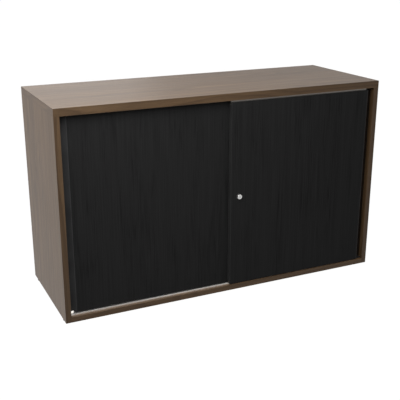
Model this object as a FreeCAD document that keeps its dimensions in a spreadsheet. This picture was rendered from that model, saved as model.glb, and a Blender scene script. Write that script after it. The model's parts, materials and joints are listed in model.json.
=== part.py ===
"""Sliding door cabinet: a panel carcass with two doors on a grooved track.

Frame: the origin is on the floor under the middle of the carcass, X runs to the right,
Y to the back and Z up, in millimetres. Every body stands in a corner of its own and is
drawn there in local coordinates, so that its sketches stay short.
"""
import FreeCAD, Part
import os
import Sketcher

Vector = FreeCAD.Vector
document = FreeCAD.newDocument("SlidingDoorCabinet")
ACROSS = Vector(1, 0, 0)
BACKWARD = Vector(0, 1, 0)
UPWARD = Vector(0, 0, 1)
TOUCH = 0.001

# ---------------------------------------------------------------- driving dimensions
SIZES = [
    ("cab_width", "1200", "whole width over the side panels"),
    ("cab_depth", "430", "depth of the carcass"),
    ("cab_height", "720", "height from the floor to the top face"),
    ("top_thick", "25", "top panel"),
    ("side_thick", "19", "side panels"),
    ("bottom_thick", "19", "bottom panel"),
    ("partition_thick", "19", "centre partition"),
    ("shelf_thick", "19", "shelves"),
    ("edging_thick", "1", "edge bands"),
    ("back_thick", "8", "back panel"),
    ("back_inset", "10", "back panel behind the rear edges"),
    ("groove_depth", "8", "grooves that hold the back panel"),
    ("groove_room", "0.5", "left free at the bottom of those grooves"),
    ("fit_gap", "0.1", "radial room of a fitting in its hole"),
    ("spline_thick", "4", "splines in the corner joints"),
    ("spline_deep", "8", "spline in each panel of a joint"),
    ("spline_inset", "20", "splines from the panel's front edge and the back panel"),
    ("dado_deep", "5", "partition in the top and bottom panels"),
    ("partition_setback", "52", "partition and shelves behind the carcass front"),
    ("shelf_setback", "62", "shelves behind the carcass front"),
    ("shelf_side_room", "2", "shelf end to the wall beside it"),
    ("shelf_back_room", "2", "shelf to the back panel"),
    ("peg_radius", "2.5", "pegs of the shelf supports"),
    ("peg_long", "8", "pegs of the shelf supports"),
    ("support_wide", "9", "shelf supports"),
    ("support_rise", "4", "top of the support's lug over the middle of its peg"),
    ("support_drop", "8", "support plate below the middle of its peg"),
    ("support_reach", "9", "shelf supports out of the wall"),
    ("support_thick", "1.5", "plates of the shelf supports"),
    ("support_inset", "37", "supports from the shelf's front and back edges"),
    ("row_pitch", "32", "spacing of the holes in a row"),
    ("row_places", "3", "holes in a row"),
    ("row_rise", "334", "middle hole of a row above the bottom panel"),
    ("glide_height", "7", "floor to the underside of the carcass"),
    ("glide_radius", "9", "glides"),
    ("glide_chamfer", "1.5", "lower rim of a glide"),
    ("glide_inset", "40", "glide centres from the carcass front and back"),
    ("door_thick", "19", "door boards"),
    ("door_setback", "2.5", "front door face behind the carcass front"),
    ("door_spacing", "3.5", "free space between the two doors"),
    ("door_floor_gap", "3", "door over the bottom panel"),
    ("door_head_gap", "6.5", "door under the top panel"),
    ("door_end_gap", "3", "closed door to the side panel"),
    ("seam_offset", "3", "front door edge to the right of the middle"),
    ("door_overlap", "60", "rear door behind the front door"),
    ("grip_width", "23.5", "grip profile beside the board"),
    ("grip_wall", "1.5", "flat land of the grip beside the board"),
    ("grip_bend", "11", "from the board to the bend of the grip's hollow"),
    ("grip_bend_deep", "8.5", "hollow of the grip at its bend"),
    ("grip_deep", "15.5", "hollow of the grip at the door's end"),
    ("grip_tongue", "8", "tongue of the grip in the board"),
    ("grip_tongue_thick", "2", "tongue of the grip"),
    ("grip_scoop", "60", "curve of the grip's hollow at its bend"),
    ("grip_round", "0.8", "rounded edge of the grip's land"),
    ("runner_wide", "15", "flange of the top runner, let into the door"),
    ("runner_thick", "1.5", "flange of the top runner"),
    ("fin_thick", "2.5", "fin of the top runner"),
    ("fin_high", "14", "fin of the top runner above the door"),
    ("tenon_thick", "2", "tenon of the top runner in the door"),
    ("tenon_deep", "9", "tenon of the top runner in the door"),
    ("channel_room", "1", "fin to each wall of its channel"),
    ("channel_wall", "1.3", "walls of the top track"),
    ("channel_deep", "13", "top track in the top panel"),
    ("rib_thick", "2", "ribs of the bottom track"),
    ("rib_high", "6", "ribs above the bottom panel"),
    ("rib_room", "1", "rib to each wall of the door's groove"),
    ("track_base", "1.5", "base of the bottom track"),
    ("track_tail", "11.5", "base behind the rear rib"),
    ("kerf_thick", "1.6", "tongues of the bottom track in their saw cuts"),
    ("kerf_deep", "7", "tongues of the bottom track in their saw cuts"),
    ("door_groove", "8", "groove under the doors"),
    ("stop_room", "0.2", "runner fin to its rubber stop"),
    ("stop_high", "9", "rubber stops"),
    ("tread_radius", "9", "rolling radius of a roller"),
    ("tread_gap", "0.3", "tread to the rib"),
    ("wheel_wide", "6", "rollers"),
    ("axle_radius", "2", "roller axles"),
    ("axle_room", "0.05", "radial room of a roller or lock part on its shaft"),
    ("house_long", "46", "roller housings"),
    ("house_wide", "13", "roller housings"),
    ("house_high", "28", "roller housings"),
    ("wheel_side_room", "0.35", "roller to each cheek"),
    ("wheel_tip_room", "1", "roller to the ends and roof of its housing"),
    ("roller_inset", "70", "roller centres from the board's ends"),
    ("lock_from_edge", "31.5", "lock axis from the front door's edge"),
    ("lock_rise", "328", "lock axis above the door's lower edge"),
    ("barrel_radius", "10", "barrel of the lock housing"),
    ("barrel_start", "3", "barrel of the lock housing behind the door face"),
    ("button_room", "0.3", "radial room of the push button in the door's hole"),
    ("plate_wide", "30", "plate of the lock housing"),
    ("plate_high", "44", "plate of the lock housing"),
    ("plate_thick", "4", "plate of the lock housing"),
    ("plunger_radius", "8.5", "push button of the lock"),
    ("plunger_proud", "8", "push button before the door face"),
    ("plunger_deep", "6", "push button behind the door face"),
    ("plunger_bevel", "0.8", "front rim of the push button"),
    ("bolt_pin_radius", "4", "locking pin"),
    ("bolt_pin_end", "15.5", "end of the locking pin behind the door face"),
    ("plug_radius", "5", "key plug"),
    ("plug_long", "9.5", "key plug"),
    ("plug_recess", "0.3", "key plug behind the push button's face"),
    ("keyway_wide", "1.4", "keyway"),
    ("keyway_high", "6.6", "keyway"),
    ("keyway_deep", "4", "keyway"),
    ("keeper_outer", "6", "keeper bush"),
    ("keeper_bore", "4.7", "keeper bush"),
    ("keeper_long", "12", "keeper bush"),
]

# ------------------------------------------------- places that follow from the sizes
LAYOUT = [
    ("front_plane", "-Sizes.cab_depth / 2"),
    ("back_plane", "Sizes.cab_depth / 2"),
    ("inner_half", "Sizes.cab_width / 2 - Sizes.side_thick"),
    ("panel_front", "front_plane + Sizes.edging_thick"),
    ("panel_deep", "Sizes.cab_depth - Sizes.edging_thick"),
    ("top_under", "Sizes.cab_height - Sizes.top_thick"),
    ("side_high", "top_under - Sizes.glide_height"),
    ("floor_top", "Sizes.glide_height + Sizes.bottom_thick"),
    ("clear_high", "top_under - floor_top"),
    ("back_face", "back_plane - Sizes.back_inset - Sizes.back_thick"),
    ("back_tongue", "Sizes.groove_depth - Sizes.groove_room"),
    ("partition_front", "front_plane + Sizes.partition_setback"),
    ("partition_deep", "back_face - partition_front"),
    ("shelf_front", "front_plane + Sizes.shelf_setback"),
    ("shelf_deep", "back_face - Sizes.shelf_back_room - shelf_front"),
    ("bay_wide", "inner_half - Sizes.partition_thick / 2"),
    ("shelf_wide", "bay_wide - 2 * Sizes.shelf_side_room"),
    ("row_level", "floor_top + Sizes.row_rise"),
    ("row_front", "shelf_front + Sizes.support_inset"),
    ("row_back", "shelf_front + shelf_deep - Sizes.support_inset"),
    ("row_lowest", "row_level - Sizes.row_pitch * floor(Sizes.row_places / 2)"),
    ("joint_front", "panel_front + Sizes.spline_inset"),
    ("joint_long", "back_face - Sizes.spline_inset - joint_front"),
    ("joint_across", "inner_half + Sizes.side_thick / 2"),
    ("joint_level", "Sizes.glide_height + Sizes.bottom_thick / 2"),
    ("door_bottom", "floor_top + Sizes.door_floor_gap"),
    ("door_top", "top_under - Sizes.door_head_gap"),
    ("door_high", "door_top - door_bottom"),
    ("door_mid", "Sizes.door_thick / 2"),
    ("front_face", "front_plane + Sizes.door_setback"),
    ("rear_face", "front_face + Sizes.door_thick + Sizes.door_spacing"),
    ("front_rib", "front_face + door_mid"),
    ("rib_pitch", "Sizes.door_thick + Sizes.door_spacing"),
    ("closed_end", "inner_half - Sizes.door_end_gap"),
    ("front_edge", "Sizes.seam_offset"),
    ("rear_edge", "Sizes.seam_offset + Sizes.door_overlap"),
    ("front_long", "closed_end - front_edge"),
    ("rear_long", "closed_end + rear_edge"),
    ("axle_rise", "Sizes.rib_high + Sizes.tread_radius - Sizes.door_floor_gap"),
    ("channel_half", "Sizes.fin_thick / 2 + Sizes.channel_room"),
    ("channel_outer", "channel_half + Sizes.channel_wall"),
    ("plate_front", "Sizes.door_thick - Sizes.plate_thick"),
]


def fill_sheet(name, rows, prefix=""):
    """Write one row for each value: its alias, the value and what it is."""
    sheet = document.addObject("Spreadsheet::Sheet", name)
    for number, row in enumerate(rows, 1):
        sheet.set(f"A{number}", row[0])
        sheet.set(f"B{number}", prefix + row[1])
        sheet.setAlias(f"B{number}", row[0])
        if len(row) > 2:
            sheet.set(f"C{number}", row[2])
    return sheet


sizes = fill_sheet("Sizes", SIZES)
layout = fill_sheet("Layout", LAYOUT, "=")
document.recompute()
nodes = []
parts = {}


# --------------------------------------------------------------------- small helpers
def value(expression):
    """The number that an expression over the two sheets has now."""
    return float(sizes.evalExpression(expression))


def place(item, across, deep, level, rotation=None):
    """Bind an object's position and set its turn."""
    if rotation is not None:
        item.Placement = FreeCAD.Placement(Vector(), rotation)
    for axis, expression in (("x", across), ("y", deep), ("z", level)):
        item.setExpression(f"Placement.Base.{axis}", expression)


def new_body(label, across="0", deep="0", level="0"):
    """A body that is a sub-part of the cabinet."""
    body = document.addObject("PartDesign::Body", label)
    place(body, across, deep, level)
    nodes.append(body)
    return body


def origin_feature(body, role):
    """The plane or axis of a body's own origin that has this role."""
    return next(item for item in body.Origin.OriginFeatures if item.Role == role)


def new_sketch(body, role, name, offset="0"):
    """A sketch on an origin plane, moved along that plane's normal."""
    sketch = body.newObject("Sketcher::SketchObject", f"{body.Name}_{name}")
    sketch.AttachmentSupport = (origin_feature(body, role), [""])
    sketch.MapMode = "FlatFace"
    sketch.setExpression("AttachmentOffset.Base.z", offset)
    return sketch


def bind(sketch, kind, where, expression, datum):
    """Add a dimension to a sketch and bind it to an expression."""
    index = sketch.addConstraint(Sketcher.Constraint(kind, *where, datum))
    sketch.setExpression(f"Constraints[{index}]", expression)


def outline(sketch, points):
    """A closed outline of straight lines through points given as expressions."""
    spots = [(value(across), value(up)) for across, up in points]
    first = sketch.GeometryCount
    count = len(points)
    for index in range(count):
        start = Vector(*spots[index], 0)
        end = Vector(*spots[(index + 1) % count], 0)
        sketch.addGeometry(Part.LineSegment(start, end), False)
    for index in range(count):
        follower = first + (index + 1) % count
        sketch.addConstraint(Sketcher.Constraint("Coincident", first + index, 2, follower, 1))
    for index, (across, up) in enumerate(points):
        corner = (-1, 1, first + index, 1)
        bind(sketch, "DistanceX", corner, across, spots[index][0])
        bind(sketch, "DistanceY", corner, up, spots[index][1])


def rectangle(sketch, left, low, right, high):
    """A rectangle between two corners."""
    outline(sketch, [(left, low), (right, low), (right, high), (left, high)])


def circle(sketch, across, up, radius):
    """A circle about a bound centre."""
    middle = Vector(value(across), value(up), 0)
    index = sketch.addGeometry(Part.Circle(middle, UPWARD, value(radius)), False)
    bind(sketch, "DistanceX", (-1, 1, index, 3), across, middle.x)
    bind(sketch, "DistanceY", (-1, 1, index, 3), up, middle.y)
    bind(sketch, "Radius", (index,), radius, value(radius))


def pad(sketch, length, back=False):
    """Extrude a sketch along its normal, or the other way."""
    body = sketch.getParentGeoFeatureGroup()
    feature = body.newObject("PartDesign::Pad", sketch.Name + "_pad")
    feature.Profile = sketch
    feature.setExpression("Length", length)
    feature.Reversed = back
    document.recompute()
    return feature


def pocket(sketch, depth=None, along_normal=False):
    """Cut a sketch to a depth, or through all, and make sure that it cut something."""
    body = sketch.getParentGeoFeatureGroup()
    before = body.Tip.Shape.Volume
    feature = body.newObject("PartDesign::Pocket", sketch.Name + "_cut")
    feature.Profile = sketch
    if depth is None:
        feature.Type = "ThroughAll"
        feature.Midplane = True
    else:
        feature.setExpression("Length", depth)
    feature.Reversed = along_normal
    document.recompute()
    if not feature.Shape.Volume < before:
        raise RuntimeError(f"{feature.Name} cuts nothing")
    return feature


def revolve(sketch, role):
    """Turn a sketch fully about one of its body's axes."""
    body = sketch.getParentGeoFeatureGroup()
    feature = body.newObject("PartDesign::Revolution", sketch.Name + "_turned")
    feature.Profile = sketch
    feature.ReferenceAxis = (origin_feature(body, role), [""])
    feature.Angle = 360
    document.recompute()
    return feature


def repeat(feature, role, length, places):
    """Repeat a feature in a straight row along one of its body's axes."""
    body = feature.getParentGeoFeatureGroup()
    row = body.newObject("PartDesign::LinearPattern", feature.Name + "_row")
    row.Originals = [feature]
    row.Direction = (origin_feature(body, role), [""])
    row.setExpression("Length", length)
    row.setExpression("Occurrences", places)
    body.Tip = row
    document.recompute()
    return row


def round_uprights(body, name, spots, radius):
    """Round the upright edges that stand at the given places of a body's own plan."""
    places = [Vector(value(across), value(deep), 0) for across, deep in spots]
    base = body.Tip
    found = []
    for number, edge in enumerate(base.Shape.Edges, 1):
        box = edge.BoundBox
        plan = Vector(box.XMin, box.YMin, 0)
        upright = max(box.XLength, box.YLength) < TOUCH
        if upright and any(plan.isEqual(place, TOUCH) for place in places):
            found.append(f"Edge{number}")
    if len(found) != len(spots):
        raise RuntimeError(f"{body.Name} has {len(found)} edges for {name}, not {len(spots)}")
    feature = body.newObject("PartDesign::Fillet", f"{body.Name}_{name}")
    feature.Base = (base, found)
    feature.setExpression("Radius", radius)
    document.recompute()
    return feature


def turned(own_x, own_z):
    """The turn that lays a part's own X and Z axes along two directions."""
    return FreeCAD.Rotation(own_x, own_z.cross(own_x), own_z, "ZXY")


def copies(label, template, places):
    """One node of identical pieces: a template linked to each of its places."""
    links = []
    for number, (across, deep, level, rotation) in enumerate(places, 1):
        link = document.addObject("App::Link", f"{label}_{number}")
        link.setLink(template)
        place(link, across, deep, level, rotation)
        links.append(link)
    group = document.addObject("Part::Compound", label)
    group.Links = links
    nodes.append(group)
    return group


def template_body(name):
    """A body that is only drawn once and copied to its places."""
    return document.addObject("PartDesign::Body", name)


# --------------------------------------------------------------------------- carcass
ROWS = ("Layout.row_front", "Layout.row_back")
PEG_HOLE = "Sizes.peg_radius + Sizes.fit_gap"
HALF_SPLINE = "Sizes.spline_thick / 2"
ROW_LENGTH = "Sizes.row_pitch * (Sizes.row_places - 1)"


def local(place_name, corner):
    """A place in the cabinet seen from a body's own corner."""
    return f"{place_name} - {corner}"


def strip(sketch, middle, half, start, length):
    """A strip along Y about a middle line, for a joint's groove."""
    rectangle(sketch, f"{middle} - {half}", start, f"{middle} + {half}", f"{start} + {length}")


def top_panel():
    """Top panel: covers both sides, and holds the top track, the back and the partition."""
    across = "-Sizes.cab_width / 2 + Sizes.edging_thick"
    body = new_body("top_panel", across, "Layout.panel_front", "Layout.top_under")
    middle = "Sizes.cab_width / 2 - Sizes.edging_thick"
    board = new_sketch(body, "XY_Plane", "board")
    rectangle(board, "0", "0", "Sizes.cab_width - 2 * Sizes.edging_thick", "Layout.panel_deep")
    pad(board, "Sizes.top_thick")
    groove = new_sketch(body, "XY_Plane", "back_groove")
    near = local("Layout.back_face", "Layout.panel_front")
    reach = "(Layout.inner_half + Sizes.groove_depth)"
    rectangle(groove, f"{middle} - {reach}", near, f"{middle} + {reach}", f"{near} + Sizes.back_thick")
    pocket(groove, "Sizes.groove_depth", along_normal=True)
    recess = new_sketch(body, "YZ_Plane", "track_recess", f"{middle} - Layout.inner_half")
    near = local("Layout.front_rib", "Layout.panel_front")
    outline(recess, track_recess_points(near))
    pocket(recess, "2 * Layout.inner_half", along_normal=True)
    splines = new_sketch(body, "XY_Plane", "spline_grooves")
    start = local("Layout.joint_front", "Layout.panel_front")
    for side in ("-", "+"):
        strip(splines, f"{middle} {side} Layout.joint_across", HALF_SPLINE, start, "Layout.joint_long")
    pocket(splines, "Sizes.spline_deep", along_normal=True)
    dado = new_sketch(body, "XY_Plane", "partition_dado")
    start = local("Layout.partition_front", "Layout.panel_front")
    strip(dado, middle, "Sizes.partition_thick / 2", start, "Layout.partition_deep")
    pocket(dado, "Sizes.dado_deep", along_normal=True)


def track_recess_points(near):
    """Outside of the top track's section: two channels joined by a thin web."""
    far = f"{near} + Layout.rib_pitch"
    outer = "Layout.channel_outer"
    deep = "Sizes.channel_deep"
    web = "Sizes.channel_wall"
    return [
        (f"{near} - {outer}", "0"),
        (f"{near} - {outer}", deep),
        (f"{near} + {outer}", deep),
        (f"{near} + {outer}", web),
        (f"{far} - {outer}", web),
        (f"{far} - {outer}", deep),
        (f"{far} + {outer}", deep),
        (f"{far} + {outer}", "0"),
    ]


def side_panel(label, across, inward):
    """Side panel; inward is 1 when its inner face looks along +X."""
    body = new_body(label, across, "Layout.panel_front", "Sizes.glide_height")
    board = new_sketch(body, "YZ_Plane", "board")
    rectangle(board, "0", "0", "Layout.panel_deep", "Layout.side_high")
    pad(board, "Sizes.side_thick")
    inner = "Sizes.side_thick" if inward > 0 else "0"
    from_left = inward < 0
    groove = new_sketch(body, "YZ_Plane", "back_groove", inner)
    near = local("Layout.back_face", "Layout.panel_front")
    rectangle(groove, near, "0", f"{near} + Sizes.back_thick", "Layout.side_high")
    pocket(groove, "Sizes.groove_depth", along_normal=from_left)
    start = local("Layout.joint_front", "Layout.panel_front")
    low = new_sketch(body, "YZ_Plane", "low_spline_groove", inner)
    end = f"{start} + Layout.joint_long"
    middle = "Sizes.bottom_thick / 2"
    rectangle(low, start, f"{middle} - {HALF_SPLINE}", end, f"{middle} + {HALF_SPLINE}")
    pocket(low, "Sizes.spline_deep", along_normal=from_left)
    high = new_sketch(body, "XY_Plane", "top_spline_groove", "Layout.side_high")
    strip(high, "Sizes.side_thick / 2", HALF_SPLINE, start, "Layout.joint_long")
    pocket(high, "Sizes.spline_deep")
    pegs = new_sketch(body, "YZ_Plane", "peg_holes", inner)
    lowest = local("Layout.row_lowest", "Sizes.glide_height")
    for deep in ROWS:
        circle(pegs, local(deep, "Layout.panel_front"), lowest, PEG_HOLE)
    holes = pocket(pegs, "Sizes.peg_long", along_normal=from_left)
    repeat(holes, "Z_Axis", ROW_LENGTH, "Sizes.row_places")


def bottom_panel():
    """Bottom panel: stands between the sides, with saw cuts for the bottom track."""
    body = new_body("bottom_panel", "-Layout.inner_half", "Layout.panel_front", "Sizes.glide_height")
    long = "2 * Layout.inner_half"
    board = new_sketch(body, "XY_Plane", "board")
    rectangle(board, "0", "0", long, "Layout.panel_deep")
    pad(board, "Sizes.bottom_thick")
    groove = new_sketch(body, "XY_Plane", "back_groove", "Sizes.bottom_thick")
    near = local("Layout.back_face", "Layout.panel_front")
    rectangle(groove, "0", near, long, f"{near} + Sizes.back_thick")
    pocket(groove, "Sizes.groove_depth")
    start = local("Layout.joint_front", "Layout.panel_front")
    middle = "Sizes.bottom_thick / 2"
    for name, offset, along in (("left", "0", True), ("right", long, False)):
        spline = new_sketch(body, "YZ_Plane", f"{name}_spline_groove", offset)
        end = f"{start} + Layout.joint_long"
        rectangle(spline, start, f"{middle} - {HALF_SPLINE}", end, f"{middle} + {HALF_SPLINE}")
        pocket(spline, "Sizes.spline_deep", along_normal=along)
    dado = new_sketch(body, "XY_Plane", "partition_dado", "Sizes.bottom_thick")
    start = local("Layout.partition_front", "Layout.panel_front")
    strip(dado, "Layout.inner_half", "Sizes.partition_thick / 2", start, "Layout.partition_deep")
    pocket(dado, "Sizes.dado_deep")
    kerfs = new_sketch(body, "XY_Plane", "track_kerfs", "Sizes.bottom_thick")
    near = local("Layout.front_rib", "Layout.panel_front")
    for line in (near, f"{near} + Layout.rib_pitch"):
        rectangle(kerfs, "0", f"{line} - Sizes.kerf_thick / 2", long, f"{line} + Sizes.kerf_thick / 2")
    pocket(kerfs, "Sizes.kerf_deep")


def centre_partition():
    """Centre partition: housed in the top and bottom panels, drilled through for pegs."""
    thick = "Sizes.partition_thick"
    foot = "Layout.floor_top - Sizes.dado_deep"
    body = new_body("centre_partition", f"-{thick} / 2", "Layout.partition_front", foot)
    board = new_sketch(body, "YZ_Plane", "board")
    rectangle(board, "0", "0", "Layout.partition_deep", "Layout.clear_high + 2 * Sizes.dado_deep")
    pad(board, thick)
    pegs = new_sketch(body, "YZ_Plane", "peg_holes")
    lowest = local("Layout.row_lowest", f"({foot})")
    for deep in ROWS:
        circle(pegs, local(deep, "Layout.partition_front"), lowest, PEG_HOLE)
    holes = pocket(pegs, thick, along_normal=True)
    repeat(holes, "Z_Axis", ROW_LENGTH, "Sizes.row_places")


def plain_board(label, corner, size):
    """A board without cut-outs, from its corner and its three sizes."""
    body = new_body(label, *corner)
    board = new_sketch(body, "XY_Plane", "board")
    rectangle(board, "0", "0", size[0], size[1])
    pad(board, size[2])
    return body


def back_and_shelves():
    """Back panel in its grooves, and one shelf on its supports in each bay."""
    wide = "2 * (Layout.inner_half + Layout.back_tongue)"
    high = "Layout.clear_high + 2 * Layout.back_tongue"
    corner = (f"-({wide}) / 2", "Layout.back_face", "Layout.floor_top - Layout.back_tongue")
    plain_board("back_panel", corner, (wide, "Sizes.back_thick", high))
    starts = {
        "left_shelf": "-Layout.inner_half + Sizes.shelf_side_room",
        "right_shelf": "Sizes.partition_thick / 2 + Sizes.shelf_side_room",
    }
    for label, across in starts.items():
        corner = (across, "Layout.shelf_front", "Layout.row_level + Sizes.support_rise")
        plain_board(label, corner, ("Layout.shelf_wide", "Layout.shelf_deep", "Sizes.shelf_thick"))


def edge_bands():
    """Thin bands glued to the carcass edges that show."""
    thick = "Sizes.edging_thick"
    half = "Sizes.cab_width / 2"
    foot = ("Layout.front_plane", "Sizes.glide_height")
    upright = ("Sizes.side_thick", thick, "Layout.side_high")
    plain_board("left_side_edging", (f"-{half}", *foot), upright)
    plain_board("right_side_edging", ("Layout.inner_half", *foot), upright)
    corner = ("-Layout.inner_half", *foot)
    plain_board("bottom_edging", corner, ("2 * Layout.inner_half", thick, "Sizes.bottom_thick"))
    corner = (f"-{half}", "Layout.front_plane", "Layout.top_under")
    plain_board("top_front_edging", corner, ("Sizes.cab_width", thick, "Sizes.top_thick"))
    ends = {"top_left_edging": f"-{half}", "top_right_edging": f"{half} - {thick}"}
    for label, across in ends.items():
        corner = (across, "Layout.panel_front", "Layout.top_under")
        plain_board(label, corner, (thick, "Layout.panel_deep", "Sizes.top_thick"))


# -------------------------------------------------------------------------- fittings
def support_template():
    """Shelf support along +X out of the wall: a peg, a plate on the wall and a lug."""
    body = template_body("support_template")
    peg = new_sketch(body, "YZ_Plane", "peg", "-Sizes.peg_long")
    circle(peg, "0", "0", "Sizes.peg_radius")
    pad(peg, "Sizes.peg_long")
    angle = new_sketch(body, "XZ_Plane", "angle", "-Sizes.support_wide / 2")
    thick = "Sizes.support_thick"
    top = "Sizes.support_rise"
    low = "-Sizes.support_drop"
    reach = "Sizes.support_reach"
    lug = f"{top} - {thick}"
    outline(angle, [("0", low), (thick, low), (thick, lug), (reach, lug), (reach, top), ("0", top)])
    pad(angle, "Sizes.support_wide")
    return body


def spline_template():
    """Spline along Y, centred on the joint, with its width across the joint along X."""
    body = template_body("spline_template")
    section = new_sketch(body, "XY_Plane", "section", f"-{HALF_SPLINE}")
    deep = "Sizes.spline_deep"
    rectangle(section, f"-{deep}", "0", deep, "Layout.joint_long")
    pad(section, "Sizes.spline_thick")
    return body


def carcass_fittings():
    """Corner splines and shelf supports, each kind as one node."""
    splines = []
    supports = []
    for inward, sign in ((1, "-"), (-1, "")):
        face = ACROSS * inward
        wall = f"{sign}Layout.inner_half"
        leaf = f"{sign}Sizes.partition_thick / 2"
        joint = "Layout.joint_front"
        splines.append((f"{sign}Layout.joint_across", joint, "Layout.top_under", turned(UPWARD, -ACROSS)))
        splines.append((wall, joint, "Layout.joint_level", FreeCAD.Rotation()))
        for deep in ROWS:
            supports.append((wall, deep, "Layout.row_level", turned(face, UPWARD)))
            supports.append((leaf, deep, "Layout.row_level", turned(-face, UPWARD)))
    copies("corner_splines", spline_template(), splines)
    copies("shelf_supports", support_template(), supports)


def glides():
    """Four plastic glides under the side panels, as one node."""
    glide = template_body("glide_template")
    profile = new_sketch(glide, "XZ_Plane", "profile")
    rim = "Sizes.glide_radius"
    slope = "Sizes.glide_chamfer"
    high = "Sizes.glide_height"
    outline(profile, [("0", "0"), (f"{rim} - {slope}", "0"), (rim, slope), (rim, high), ("0", high)])
    revolve(profile, "Z_Axis")
    places = []
    for sign in ("-", ""):
        for deep in ("Layout.front_plane + Sizes.glide_inset", "Layout.back_plane - Sizes.glide_inset"):
            places.append((f"{sign}Layout.joint_across", deep, "0", FreeCAD.Rotation()))
    copies("glides", glide, places)


# ---------------------------------------------------------------------------- tracks
def tracks():
    """Top track let into the top panel, and bottom track pressed into its saw cuts."""
    long = "2 * Layout.inner_half"
    top = new_body("top_track", "-Layout.inner_half", "Layout.front_rib", "Layout.top_under")
    section = new_sketch(top, "YZ_Plane", "section")
    inner = "Layout.channel_half"
    pitch = "Layout.rib_pitch"
    roof = "Sizes.channel_deep - Sizes.channel_wall"
    inside = [
        (f"{pitch} + {inner}", "0"),
        (f"{pitch} + {inner}", roof),
        (f"{pitch} - {inner}", roof),
        (f"{pitch} - {inner}", "0"),
        (inner, "0"),
        (inner, roof),
        (f"-{inner}", roof),
        (f"-{inner}", "0"),
    ]
    outline(section, track_recess_points("0") + inside)
    pad(section, long)
    low = new_body("bottom_track", "-Layout.inner_half", "Layout.front_rib", "Layout.floor_top")
    section = new_sketch(low, "YZ_Plane", "section")
    rib = "Sizes.rib_thick / 2"
    tongue = "Sizes.kerf_thick / 2"
    foot = "-Sizes.kerf_deep"
    tail = f"{pitch} + Sizes.track_tail"
    steps = [
        (f"-{rib}", "0"),
        (f"-{tongue}", "0"),
        (f"-{tongue}", foot),
        (tongue, foot),
        (tongue, "0"),
        (f"{pitch} - {tongue}", "0"),
        (f"{pitch} - {tongue}", foot),
        (f"{pitch} + {tongue}", foot),
        (f"{pitch} + {tongue}", "0"),
        (tail, "0"),
        (tail, "Sizes.track_base"),
        (f"{pitch} + {rib}", "Sizes.track_base"),
        (f"{pitch} + {rib}", "Sizes.rib_high"),
        (f"{pitch} - {rib}", "Sizes.rib_high"),
        (f"{pitch} - {rib}", "Sizes.track_base"),
        (rib, "Sizes.track_base"),
        (rib, "Sizes.rib_high"),
        (f"-{rib}", "Sizes.rib_high"),
    ]
    outline(section, steps)
    pad(section, long)


def stops():
    """Rubber stops in the ends of the top channels, which the runner fins meet."""
    wide = "2 * Layout.channel_half"
    closing = "Sizes.door_end_gap + Sizes.grip_width - Sizes.stop_room"
    opening = "Sizes.door_end_gap - Sizes.stop_room"
    level = "Layout.top_under + Sizes.channel_deep - Sizes.channel_wall - Sizes.stop_high"
    lines = {"front": "0", "rear": "Layout.rib_pitch"}
    ends = {
        "front_closing_stop": ("front", f"Layout.inner_half - ({closing})", closing),
        "front_opening_stop": ("front", "-Layout.inner_half", opening),
        "rear_closing_stop": ("rear", "-Layout.inner_half", closing),
        "rear_opening_stop": ("rear", f"Layout.inner_half - ({opening})", opening),
    }
    for label, (line, across, length) in ends.items():
        deep = f"Layout.front_rib + {lines[line]} - Layout.channel_half"
        plain_board(label, (across, deep, level), (length, wide, "Sizes.stop_high"))


# ----------------------------------------------------------------------------- doors
def door_section(sketch):
    """Section of a door board: rib groove below, runner rebate and tenon slot above."""
    mid = "Layout.door_mid"
    rib = "(Sizes.rib_thick / 2 + Sizes.rib_room)"
    flange = "Sizes.runner_wide / 2"
    tenon = "Sizes.tenon_thick / 2"
    high = "Layout.door_high"
    rebate = f"{high} - Sizes.runner_thick"
    slot_floor = f"{rebate} - Sizes.tenon_deep"
    steps = [
        ("0", "0"),
        (f"{mid} - {rib}", "0"),
        (f"{mid} - {rib}", "Sizes.door_groove"),
        (f"{mid} + {rib}", "Sizes.door_groove"),
        (f"{mid} + {rib}", "0"),
        ("Sizes.door_thick", "0"),
        ("Sizes.door_thick", high),
        (f"{mid} + {flange}", high),
        (f"{mid} + {flange}", rebate),
        (f"{mid} + {tenon}", rebate),
        (f"{mid} + {tenon}", slot_floor),
        (f"{mid} - {tenon}", slot_floor),
        (f"{mid} - {tenon}", rebate),
        (f"{mid} - {flange}", rebate),
        (f"{mid} - {flange}", high),
        ("0", high),
    ]
    outline(sketch, steps)


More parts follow.
